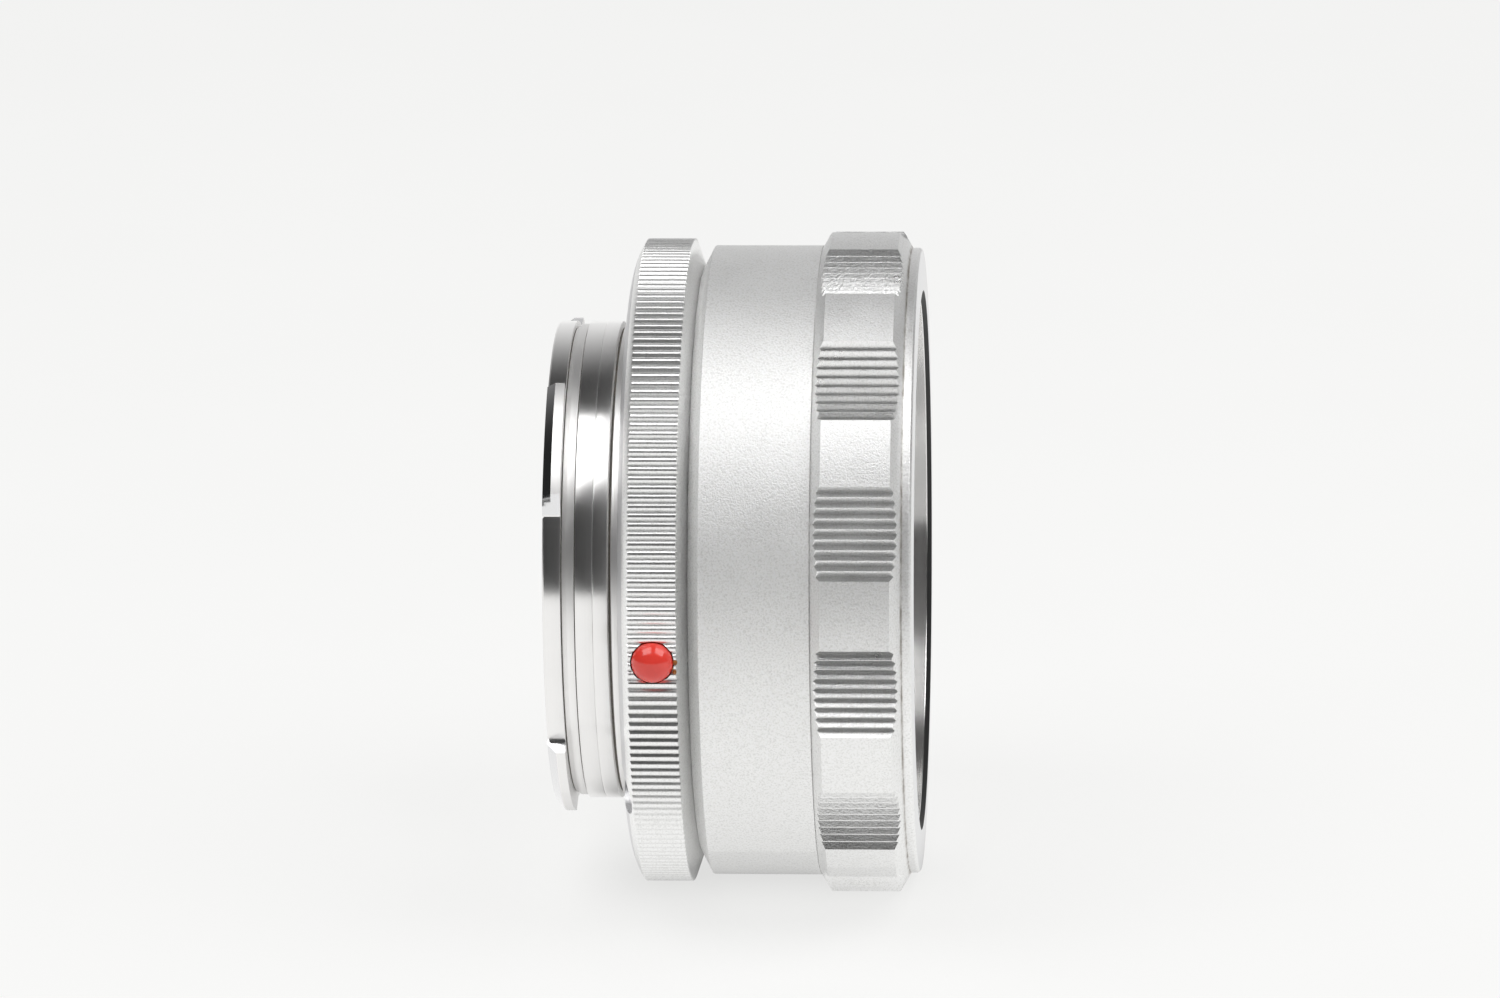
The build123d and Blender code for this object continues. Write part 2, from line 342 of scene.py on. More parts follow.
def turned_chrome(name, rgb, dull, stretch):
    """Chrome plate on turned brass: bright, its reflections drawn out across the fine tool lines."""
    material, tree = new_material(name)
    place = object_place(tree)
    parts = add(tree, "ShaderNodeSeparateXYZ", {"Vector": place}).outputs
    across = add(tree, "ShaderNodeCombineXYZ", {"Y": parts["Y"], "Z": parts["Z"]})
    radius = add(tree, "ShaderNodeVectorMath", {0: across.outputs[0]}, operation="LENGTH")
    # Tool lines run round the axis, so the pattern is read along the axis and the radius only.
    lathe = add(tree, "ShaderNodeCombineXYZ", {"X": parts["X"], "Y": radius.outputs["Value"]})
    lines = noise(tree, lathe.outputs[0], 0.12, 3.0, 0.7)
    smears = noise(tree, place, 2.2, 5.0, 0.65)
    worn = remap(tree, smears, (0.35, 0.75), (dull - 0.015, dull + 0.015))
    # Nicks and specks of dust, about one in each 3 mm, which catch the light where the metal is dark.
    specks = add(tree, "ShaderNodeTexVoronoi", {"Vector": place, "Scale": per_metre(3.0)})
    nicks = remap(tree, specks.outputs["Distance"], (0.02, 0.035), (0.8, 0.0))
    tangent = add(tree, "ShaderNodeTangent", direction_type="RADIAL", axis="X")
    surface(
        tree,
        {
            "Base Color": tint(tree, rgb, remap(tree, lines, (0.3, 0.7), (0.98, 1.0))),
            "Metallic": 1.0,
            "Roughness": maths(tree, "MAXIMUM", worn, nicks),
            "Anisotropic": stretch,
            "Anisotropic Rotation": 0.25,
            "Normal": relief(tree, lines, 0.1, 0.004),
            "Tangent": tangent.outputs[0],
        },
    )
    return material


def matt_paint(name, rgb):
    """Matt black paint, or the grey paint that stands for the shade in a groove: dull and faintly
    mottled.
    """
    material, tree = new_material(name)
    grain = noise(tree, object_place(tree), 0.3, 3.0)
    surface(
        tree,
        {
            "Base Color": tint(tree, rgb, remap(tree, grain, (0.0, 1.0), (0.6, 1.5))),
            "Roughness": 0.62,
            "Normal": relief(tree, grain, 0.4, 0.02),
        },
    )
    return material


def red_enamel(name, rgb):
    """Glossy red enamel: a deep even colour under a clear wet shine."""
    material, tree = new_material(name)
    cloud = noise(tree, object_place(tree), 0.9, 3.0)
    surface(
        tree,
        {
            "Base Color": tint(tree, rgb, remap(tree, cloud, (0.3, 0.7), (0.97, 1.02))),
            "Roughness": remap(tree, cloud, (0.3, 0.7), (0.14, 0.18)),
            "IOR": 1.62,
        },
    )
    return material


def old_cement(name, rgb):
    """Old shellac cement: a brown resin, darker where it is thick."""
    material, tree = new_material(name)
    cloud = noise(tree, object_place(tree), 0.15, 2.0)
    surface(
        tree,
        {
            "Base Color": tint(tree, rgb, remap(tree, cloud, (0.3, 0.7), (0.6, 1.3))),
            "Roughness": 0.3,
            "IOR": 1.52,
        },
    )
    return material


def screw_steel(name, rgb):
    """Plain screw steel: grey metal with a fine uneven shine."""
    material, tree = new_material(name)
    grain = noise(tree, object_place(tree), 0.2, 3.0)
    surface(
        tree,
        {
            "Base Color": tint(tree, rgb, remap(tree, grain, (0.0, 1.0), (0.75, 1.05))),
            "Metallic": 1.0,
            "Roughness": remap(tree, grain, (0.0, 1.0), (0.25, 0.45)),
        },
    )
    return material


def turn(profile, steps):
    """A ring turned about the X axis from a closed outline of (x, radius)."""
    ring = bmesh.new()
    corners = [ring.verts.new((x, 0.0, r)) for x, r in profile]
    sides = [ring.edges.new(pair) for pair in zip(corners, corners[1:] + corners[:1])]
    bmesh.ops.spin(
        ring,
        geom=corners + sides,
        cent=(0, 0, 0),
        axis=(1, 0, 0),
        angle=tau,
        steps=steps,
        use_merge=True,
    )
    bmesh.ops.recalc_face_normals(ring, faces=ring.faces)
    return ring


def break_edges(mesh, width, least=0.35):
    """Rounds every corner sharper than an angle by a small width."""
    corners = [e for e in mesh.edges if e.calc_face_angle(0.0) > least]
    bmesh.ops.bevel(
        mesh,
        geom=corners,
        offset=width,
        offset_type="OFFSET",
        segments=2,
        profile=0.5,
        affect="EDGES",
        clamp_overlap=True,
        material=-1,
    )


def mark_sharp(mesh):
    """Smooth faces, with a crease along every edge that turns more than about 23 degrees."""
    mesh.normal_update()
    for face in mesh.faces:
        face.smooth = True
    for edge in mesh.edges:
        edge.smooth = edge.calc_face_angle(0.0) < 0.4


def new_object(mesh, name):
    """An object at the origin from a bmesh, smooth but for its sharp edges."""
    mark_sharp(mesh)
    data = bpy.data.meshes.new(name)
    mesh.to_mesh(data)
    mesh.free()
    piece = bpy.data.objects.new(name, data)
    bpy.context.scene.collection.objects.link(piece)
    return piece


def carve(piece, tool, how):
    """Cuts a tool's shape from a piece, or joins it on, and throws the tool away."""
    modifier = piece.modifiers.new("carve", "BOOLEAN")
    modifier.operation = how
    modifier.solver = "EXACT"
    modifier.object = tool
    graph = bpy.context.evaluated_depsgraph_get()
    data = bpy.data.meshes.new_from_object(piece.evaluated_get(graph))
    piece.modifiers.clear()
    worn = (piece.data, tool.data)
    piece.data = data
    bpy.data.objects.remove(tool)
    for mesh in worn:
        bpy.data.meshes.remove(mesh)
    if len(data.polygons) == 0:
        raise RuntimeError(f"{piece.name} came out empty")
    mesh = bmesh.new()
    mesh.from_mesh(data)
    bmesh.ops.remove_doubles(mesh, verts=mesh.verts, dist=0.0005 * MM)
    bmesh.ops.dissolve_degenerate(mesh, edges=mesh.edges, dist=0.0005 * MM)
    mark_sharp(mesh)
    mesh.to_mesh(data)
    mesh.free()


def dress(piece, node, slot, *materials):
    """Gives a piece its finishes and lets it stand for a CAD node."""
    piece.data.materials.clear()
    for material in materials:
        piece.data.materials.append(material)
    # Wide faces keep their own direction beside the narrow rounded edges.
    even = piece.modifiers.new("even_normals", "WEIGHTED_NORMAL")
    even.keep_sharp = True
    if node is not None:
        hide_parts(node)
    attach(piece, "root")


def paint_faces(piece, chosen, index):
    """Gives the faces that a test picks, by centre and normal, another finish."""
    for face in piece.data.polygons:
        if chosen(face.center, face.normal):
            face.material_index = index


def inward(centre, normal):
    """How far a normal points towards the X axis, from -1 to 1."""
    radius = hypot(centre.y, centre.z) or 1.0
    return -(normal.y * centre.y + normal.z * centre.z) / radius


def dome(sizes, radius):
    """X of the rounded rear edge at a radius."""
    return sizes.dome_radius - sqrt(sizes.dome_radius**2 - (radius - sizes.dome_start) ** 2)


def dome_points(sizes, inner, outer, count):
    """Points on the rounded rear edge, from an inner to an outer radius."""
    radii = [inner + (outer - inner) * step / count for step in range(count + 1)]
    return [(dome(sizes, radius), radius) for radius in radii]


def rod(radius, start, end, centre_radius, angle, wide=None):
    """A closed round rod along X, beside the axis, with an optional wide start."""
    shape = bmesh.new()
    bmesh.ops.create_cone(
        shape,
        cap_ends=True,
        segments=64,
        radius1=wide or radius,
        radius2=radius,
        depth=end - start,
        matrix=Matrix.Translation(
            ((start + end) / 2, centre_radius * cos(angle), centre_radius * sin(angle))
        )
        @ Matrix.Rotation(pi / 2, 4, "Y"),
    )
    return shape


def join(target, extra):
    """Moves the faces of one bmesh into another."""
    data = bpy.data.meshes.new("joined")
    extra.to_mesh(data)
    extra.free()
    target.from_mesh(data)
    bpy.data.meshes.remove(data)


def radial_frame(x, angle):
    """Matrix with its Z axis pointing out from the X axis at an angle."""
    out = Vector((0, cos(angle), sin(angle)))
    along = Vector((1, 0, 0))
    side = out.cross(along)
    turned = Matrix((along, side, out)).transposed().to_4x4()
    return Matrix.Translation((x, 0, 0)) @ turned


def screw_angles():
    """One screw halfway along each gap between two lugs."""
    places = []
    for index, (start, end) in enumerate(LUG_ANGLES):
        following = LUG_ANGLES[(index + 1) % len(LUG_ANGLES)][0]
        gap = (following - end - LUG_RAMP) % 360
        places.append(radians(end + LUG_RAMP + gap / 2))
    return places


def lug_shape(sizes, start, end):
    """One lug: an arc of a bevelled ring, steep at its start and ramped at its end."""
    # Its foot and its front stay out of the planes of the boss's own faces,
    # because faces in one plane show as black lines.
    front = -sizes.depth + sizes.lug_thickness + 0.004 * MM
    foot = sizes.boss_radius - 0.1 * MM
    filed = sizes.boss_radius + 0.3 * MM
    outline = (
        (-sizes.depth, foot),
        (-sizes.depth, filed),
        (-sizes.depth, sizes.lug_radius - sizes.lug_bevel),
        (-sizes.depth + sizes.lug_bevel, sizes.lug_radius),
        (front, sizes.lug_radius),
        (front, filed),
        (front, foot),
    )
    lug = bmesh.new()
    corners = [lug.verts.new((x, r * cos(start), r * sin(start))) for x, r in outline]
    ends = [lug.faces.new(corners[:2] + corners[5:]), lug.faces.new(corners[1:6])]
    ramp = radians(LUG_RAMP)
    bmesh.ops.spin(
        lug,
        geom=[*ends, *lug.edges, *corners],
        cent=(0, 0, 0),
        axis=(1, 0, 0),
        angle=end + ramp - start,
        steps=48,
    )
    for vert in lug.verts:
        turned = (atan2(vert.co.z, vert.co.y) - start + 0.01) % tau - 0.01
        past = max(turned - (end - start), 0.0)
        radius = hypot(vert.co.y, vert.co.z)
        limit = sizes.lug_radius + (foot - sizes.lug_radius) * past / ramp
        reach = min(radius, max(limit, foot))
        angle = start + turned
        if turned < 0.001 and radius > filed:
            # The outer half of the steep end leans back, where it has been filed.
            angle += (radius - filed) * 0.32 / radius
        vert.co.y = reach * cos(angle)
        vert.co.z = reach * sin(angle)
    bmesh.ops.remove_doubles(lug, verts=lug.verts, dist=0.001 * MM)
    bmesh.ops.recalc_face_normals(lug, faces=lug.faces)
    return lug


class ADAPTER_OT_bayonet(bpy.types.Operator):
    """Turns the bayonet and cuts its lugs, pin notch and screw holes"""

    bl_idname = "adapter.bayonet"
    bl_label = "Bayonet"

    def boss(self, s):
        """The stepped boss, from its rear end to the flange face."""
        lug_front = -s.depth + s.lug_thickness
        groove = s.boss_radius - 0.45 * MM
        collar = s.boss_radius - 0.25 * MM
        neck = s.boss_radius - 0.2 * MM
        undercut = s.boss_radius - 0.6 * MM
        groove_end = lug_front + 0.45 * MM
        collar_end = lug_front + 1.15 * MM
        neck_cut = (-1.05 * MM, -0.9 * MM)
        bevel = 0.15 * MM
        fine = 0.1 * MM
        line = -2.38 * MM
        scratch = 0.05 * MM
        profile = [
            (0.0, s.boss_bore),
            (-s.depth, s.boss_bore),
            (-s.depth, s.boss_radius - bevel),
            (-s.depth + bevel, s.boss_radius),
            (lug_front, s.boss_radius),
            (lug_front, undercut),
            (lug_front + fine, undercut),
            (lug_front + fine, groove),
            (groove_end, groove),
            (groove_end, collar),
            (collar_end, collar),
            (collar_end, undercut),
            (collar_end + fine, undercut),
            (collar_end + fine, s.boss_radius),
            (line - scratch, s.boss_radius),
            (line, s.boss_radius - scratch),
            (line + scratch, s.boss_radius),
            (neck_cut[0] - fine, s.boss_radius),
            (neck_cut[0], undercut),
            (neck_cut[1], undercut),
            (neck_cut[1] + fine, neck),
            (0.0, neck),
        ]
        ring = turn(profile, ROUND_STEPS)
        break_edges(ring, 0.03 * MM)
        return ring

    def flange(self, s):
        """The flange with its rounded edge, pin notch and countersunk holes."""
        profile = [
            (s.flange_thickness, s.flange_radius),
            (s.flange_thickness, s.boss_bore),
            (0.0, s.boss_bore),
            *dome_points(s, s.dome_start, s.flange_radius, 10),
        ]
        piece = new_object(turn(profile, ROUND_STEPS), "bayonet_ring")
        cuts = rod(s.notch_radius, -1.0 * MM, s.notch_depth, s.notch_circle, radians(NOTCH_ANGLE))
        for angle in screw_angles():
            hole = s.screw_radius + 0.04 * MM
            join(cuts, rod(hole, -0.5 * MM, 2.5 * MM, s.screw_circle, angle))
        carve(piece, new_object(cuts, "notch"), "DIFFERENCE")
        heads = bmesh.new()
        for angle in screw_angles():
            wide = s.screw_head + 0.05 * MM
            head_height = s.screw_head - s.screw_radius
            join(heads, rod(s.screw_radius, -0.01 * MM, head_height, s.screw_circle, angle, wide))
        carve(piece, new_object(heads, "countersinks"), "DIFFERENCE")
        return piece

    def execute(self, context):
        settings = context.scene.adapter
        s = settings.bayonet
        piece = self.flange(s)
        whole = bmesh.new()
        whole.from_mesh(piece.data)
        join(whole, self.boss(s))
        for start, end in LUG_ANGLES:
            join(whole, lug_shape(s, radians(start), radians(end)))
        mark_sharp(whole)
        whole.to_mesh(piece.data)
        whole.free()
        chrome = settings.colours.polished
        rubbed = settings.colours.rubbed
        dress(
            piece,
            "bayonet",
            "polished_chrome",
            turned_chrome("polished_chrome_boss", chrome, 0.3, 1.0),
            matt_paint("matt_black_paint_boss", settings.colours.black),
            turned_chrome("fine_turned_chrome_collar", chrome, 0.44, 0.4),
            turned_chrome("rubbed_chrome_lugs", rubbed, 0.15, 0.0),
            matt_paint("painted_shade_grooves", settings.colours.painted_groove_shade),
            turned_chrome("rubbed_chrome_flange", rubbed, 0.44, 0.4),
        )
        lug_front = -s.depth + s.lug_thickness
        bore = s.boss_bore + 0.2 * MM
        proud = s.boss_radius + 0.02 * MM
        behind = lug_front - 0.01 * MM
        collar_end = lug_front + 1.25 * MM
        neck_start = -1.14 * MM
        shade_limit = s.boss_radius - 0.53 * MM

        def on_lug(c):
            return hypot(c.y, c.z) > proud and c.x < behind

        def in_bore(c, n):
            return hypot(c.y, c.z) < bore and inward(c, n) > 0.5 and c.x > lug_front

        def in_groove(c):
            return bore < hypot(c.y, c.z) < shade_limit and behind < c.x < -0.5 * MM

        paint_faces(piece, lambda c, n: behind < c.x < collar_end or c.x > neck_start, 2)
        paint_faces(piece, lambda c, n: c.x > -0.01 * MM, 5)
        paint_faces(piece, lambda c, n: on_lug(c), 3)
        paint_faces(piece, lambda c, n: on_lug(c) and inward(c, n) < -0.95, 2)
        paint_faces(piece, in_bore, 1)
        # Painted shade: the narrow grooves get a dark grey paint for the shade that falls in them.
        paint_faces(piece, lambda c, n: in_groove(c), 4)
        return {"FINISHED"}


class ADAPTER_OT_bayonet_screws(bpy.types.Operator):
    """Gives the bayonet's screws their steel"""

    bl_idname = "adapter.bayonet_screws"
    bl_label = "Bayonet screws"

    def execute(self, context):
        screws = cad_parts["bayonet_screws"]
        steel = context.scene.adapter.colours.steel
        screws.data.materials.clear()
        screws.data.materials.append(screw_steel("turned_screw_steel", steel))
        return {"FINISHED"}


class ADAPTER_OT_mount_ring(bpy.types.Operator):
    """Turns the mount ring and cuts its knurl, pin notch and bead seat"""

    bl_idname = "adapter.mount_ring"
    bl_label = "Mount ring"

    def execute(self, context):
        settings = context.scene.adapter
        s = settings.ring
        b = settings.bayonet
        recess = b.flange_radius + 0.04 * MM
        valley = s.knurl_radius - s.knurl_depth
        knurl_end = s.ring_length - s.chamfer_length
        slope = s.chamfer_length / (s.knurl_radius - s.groove_radius)
        spigot = s.spigot_radius + 0.04 * MM
        profile = [
            *dome_points(b, recess, valley - 0.03 * MM, 5),
            (dome(b, s.knurl_radius), s.knurl_radius),
            (knurl_end, s.knurl_radius),
            (s.ring_length, s.groove_radius),
            (s.ring_length, spigot),
            (s.spigot_start, spigot),
            (s.spigot_start, s.bore),
            (b.flange_thickness, s.bore),
            (b.flange_thickness, recess),
        ]
        # Columns of one tooth: a sharp valley, then a steep flank up to a wide rounded crest and down.
        shares = (0.0, 0.16, 0.27, 0.36, 0.5, 0.64, 0.73, 0.84)
        drops = (1.0, 0.5, 0.15, 0.025, 0.0, 0.025, 0.15, 0.5)
        columns = s.knurl_teeth * len(shares)
        ring = turn(profile, columns)
        for vert in ring.verts:
            radius = hypot(vert.co.y, vert.co.z)
            column = round(atan2(vert.co.z, vert.co.y) % tau / tau * columns) % columns
            tooth, part = divmod(column, len(shares))
            angle = (tooth + shares[part]) * tau / s.knurl_teeth
            if radius > valley - 0.01 * MM:
                radius = s.knurl_radius - s.knurl_depth * drops[part]
                if vert.co.x < knurl_end - MM:
                    vert.co.x = dome(b, radius)
                else:
                    vert.co.x = knurl_end + (s.knurl_radius - radius) * slope
            vert.co.y = radius * cos(angle)
            vert.co.z = radius * sin(angle)
        piece = new_object(ring, "knurled_mount_ring")
        cuts = rod(b.notch_radius, -1.0 * MM, b.notch_depth, b.notch_circle, radians(NOTCH_ANGLE))
        seat = bmesh.new()
        seat_height = 2.0 * MM
        middle = (dome(b, s.knurl_radius) + knurl_end) / 2
        lifted = Matrix.Translation((0, 0, s.bead_seat + seat_height / 2))
        bmesh.ops.create_cone(
            seat,
            cap_ends=True,
            segments=72,
            radius1=s.bead_radius + s.bead_gap,
            radius2=s.bead_radius + s.bead_gap,
            depth=seat_height,
            matrix=radial_frame(middle, s.bead_angle) @ lifted,
        )
        join(cuts, seat)
        carve(piece, new_object(cuts, "ring_cuts"), "DIFFERENCE")
        dress(
            piece,
            "mount_ring",
            "satin_chrome",
            satin_chrome("satin_chrome_knurl", settings.colours.satin, 0.33, 0.006),
            matt_paint("matt_black_paint_ring", settings.colours.black),
            old_cement("cement_and_painted_shade", settings.colours.cement),
        )
        bead_axis = Vector((0, cos(s.bead_angle), sin(s.bead_angle)))
        seat_wide = s.bead_radius + s.bead_gap + 0.005 * MM

        def in_seat(c, n):
            out = c.dot(bead_axis)
            aside = c - Vector((middle, 0, 0)) - out * bead_axis
            return aside.length < seat_wide and out > s.bead_seat - 0.01 * MM

        # Painted shade: the bead's seat is painted dark brown, partly old cement and partly the shade
        # of the gap.
        paint_faces(piece, in_seat, 2)
        inside = s.bore + 0.2 * MM
        paint_faces(piece, lambda c, n: hypot(c.y, c.z) < inside and inward(c, n) > 0.5, 1)
        return {"FINISHED"}


class ADAPTER_OT_index_bead(bpy.types.Operator):
    """Sets the red index bead and the old cement beside it"""

    bl_idname = "adapter.index_bead"
    bl_label = "Index bead"

    def execute(self, context):
        settings = context.scene.adapter
        s = settings.ring
        knurl_end = s.ring_length - s.chamfer_length
        middle = (dome(settings.bayonet, s.knurl_radius) + knurl_end) / 2
        place = radial_frame(middle, s.bead_angle)
        ball = (s.bead_radius**2 + s.bead_height**2) / (2 * s.bead_height)
        centre = s.knurl_radius + s.bead_height - ball
        widest = atan2(s.bead_radius, s.knurl_radius - centre)
        bead = bmesh.new()
        chain = [bead.verts.new((across, 0.0, s.bead_seat)) for across in (0.0, s.bead_radius)]
        for step in range(25):
            angle = widest * (1 - step / 24)
            chain.append(bead.verts.new((ball * sin(angle), 0.0, centre + ball * cos(angle))))
        links = [bead.edges.new(pair) for pair in zip(chain, chain[1:])]
        bmesh.ops.spin(
            bead,
            geom=chain + links,
            cent=(0, 0, 0),
            axis=(0, 0, 1),
            angle=tau,
            steps=96,
            use_merge=True,
        )
        bmesh.ops.remove_doubles(bead, verts=bead.verts, dist=0.002 * MM)
        bmesh.ops.recalc_face_normals(bead, faces=bead.faces)
        bmesh.ops.transform(bead, matrix=place, verts=bead.verts)
        piece = new_object(bead, "red_index_bead")
        dress(piece, "index_bead", "red_enamel", red_enamel("red_enamel", settings.colours.red))
        drops = bmesh.new()
        for along, aside, size in ((1.95, 0.05, 0.2), (1.9, -0.82, 0.17), (1.72, -0.5, 0.12)):
            spot = Matrix.Translation((along * MM, aside * MM, s.knurl_radius - 0.06 * MM))
            shape = Matrix.Diagonal((1.0, 1.25, 0.8, 1.0))
            bmesh.ops.create_icosphere(
                drops,
                subdivisions=3,
                radius=size * MM,
                matrix=place @ spot @ shape,
            )
        cement = new_object(drops, "bead_cement")
        dress(cement, None, "red_enamel", old_cement("amber_lacquer", settings.colours.lacquer))
        return {"FINISHED"}


class ADAPTER_OT_barrel(bpy.types.Operator):
    """Turns the barrel with its sloping shoulder and grooved black bore"""

    bl_idname = "adapter.barrel"
    bl_label = "Barrel"

    def execute(self, context):
        settings = context.scene.adapter
        s = settings.tube
        r = settings.ring
        start = r.spigot_start + 0.15 * MM
        spigot_end = s.thread_start - 0.15 * MM
        outside = [
            (start, s.barrel_bore),
            (start, r.spigot_radius),
            (r.ring_length, r.spigot_radius),
            (r.ring_length, r.groove_radius),
            (r.ring_length + s.shoulder_length, s.barrel_radius),
            (s.grip_start, s.barrel_radius),
            (s.grip_start, s.grip_bore),
            (s.grip_end, s.grip_bore),
            (s.grip_end, s.front_spigot),
            (spigot_end, s.front_spigot),
            (spigot_end, s.barrel_bore),
        ]
        ring = turn(outside, ROUND_STEPS)
        break_edges(ring, 0.05 * MM)
        # Fine rings cut in the bore keep stray light from the film.
        bands = 48
        ring_depth = 0.25 * MM
        bore = [
            e
            for e in ring.edges
            if all(abs(hypot(v.co.y, v.co.z) - s.barrel_bore) < 0.02 * MM for v in e.verts)
            and abs(e.verts[0].co.x - e.verts[1].co.x) > 5 * MM
        ]
        cut = bmesh.ops.subdivide_edges(ring, edges=bore, cuts=bands - 1, use_grid_fill=True)
        length_of_bore = spigot_end - start
        for item in cut["geom_inner"]:
            if isinstance(item, bmesh.types.BMVert):
                step = round((item.co.x - start) / length_of_bore * bands)
                if step % 2:
                    scale = 1 + ring_depth / s.barrel_bore
                    item.co.y *= scale
                    item.co.z *= scale
        bmesh.ops.recalc_face_normals(ring, faces=ring.faces)
        piece = new_object(ring, "satin_barrel")
        dress(
            piece,
            "barrel",
            "satin_chrome",
            satin_chrome("satin_chrome_barrel", settings.colours.satin, 0.575, 0.055),
            matt_paint("matt_black_paint_barrel", settings.colours.black),
        )
        inside = s.front_spigot - 0.05 * MM
        paint_faces(piece, lambda c, n: hypot(c.y, c.z) < inside, 1)
        return {"FINISHED"}


class ADAPTER_OT_grip_ring(bpy.types.Operator):
    """Turns the grip ring and cuts its finger hollows and their V-grooves"""

    bl_idname = "adapter.grip_ring"
    bl_label = "Grip ring"

    def columns(self, s):
        """(angle, radius) of each column of one hollow and the land after it."""
        half = s.hollow_chord / 2
        edge = sqrt(s.grip_radius**2 - half**2)
        sag = sqrt(s.hollow_curve**2 - half**2)
        corners = []
        for step in range(2 * s.hollow_grooves + 1):
            across = -half + step * s.hollow_chord / s.hollow_grooves / 2
            floor = edge - (sqrt(s.hollow_curve**2 - across**2) - sag)
            corners.append((floor - s.groove_depth * (step % 2), across))
        corners = [Vector(corner) for corner in corners]
        points = [corners[0]]
        for before, corner, after in zip(corners, corners[1:], corners[2:]):
            points.append((before + corner) / 2)
            if corner.x < before.x:
                points.append(corner)
                continue
            # Blasting has rounded each ridge between two grooves.
            left = corner + (before - corner).normalized() * s.ridge_round
            right = corner + (after - corner).normalized() * s.ridge_round
            for step in range(7):
                share = step / 6
                points.append(left.lerp(corner, share).lerp(corner.lerp(right, share), share))
        points.append((corners[-2] + corners[-1]) / 2)
        places = [(atan2(y, x), hypot(x, y)) for x, y in points]
        land_start = atan2(half, edge)
        land = tau / s.hollow_count - 2 * land_start
        places += [(land_start + land * step / 8, s.grip_radius) for step in range(8)]
        return places

    def execute(self, context):
        settings = context.scene.adapter
        s = settings.tube
        bore = s.grip_bore + 0.04 * MM
        profile = [
            (s.grip_start, bore),
            (s.grip_start, s.grip_side),
            (s.grip_start + s.grip_chamfer, s.grip_radius),
            (s.grip_end - s.grip_chamfer, s.grip_radius),
            (s.grip_end, s.grip_side),
            (s.grip_end, bore),
        ]
        places = self.columns(s)
        total = len(places) * s.hollow_count
        ring = turn(profile, total)
        slope = s.grip_chamfer / (s.grip_radius - s.grip_side)
        for vert in ring.verts:
            radius = hypot(vert.co.y, vert.co.z)
            column = round(atan2(vert.co.z, vert.co.y) % tau / tau * total) % total
            hollow, part = divmod(column, len(places))
            turned, reach = places[part]
            angle = 1.5 * pi + hollow * tau / s.hollow_count + turned
            if radius > s.grip_radius - 0.01 * MM:
                radius = reach
                side = (radius - s.grip_side) * slope
                if vert.co.x < (s.grip_start + s.grip_end) / 2:
                    vert.co.x = s.grip_start + side
                else:
                    vert.co.x = s.grip_end - side
            vert.co.y = radius * cos(angle)
            vert.co.z = radius * sin(angle)
        piece = new_object(ring, "ridged_grip_ring")
        dress(
            piece,
            "grip_ring",
            "satin_chrome",
            satin_chrome("satin_chrome_grip", settings.colours.satin, 0.5, 0.05, s.grip_end),
            satin_chrome("milled_chrome_hollows", settings.colours.satin, 0.3, 0.02),
        )
        sunk = s.grip_radius - 0.02 * MM

        def in_hollow(c, n):
            return hypot(c.y, c.z) < sunk and abs(n.x) < 0.1 and inward(c, n) < 0

        paint_faces(piece, in_hollow, 1)
        return {"FINISHED"}


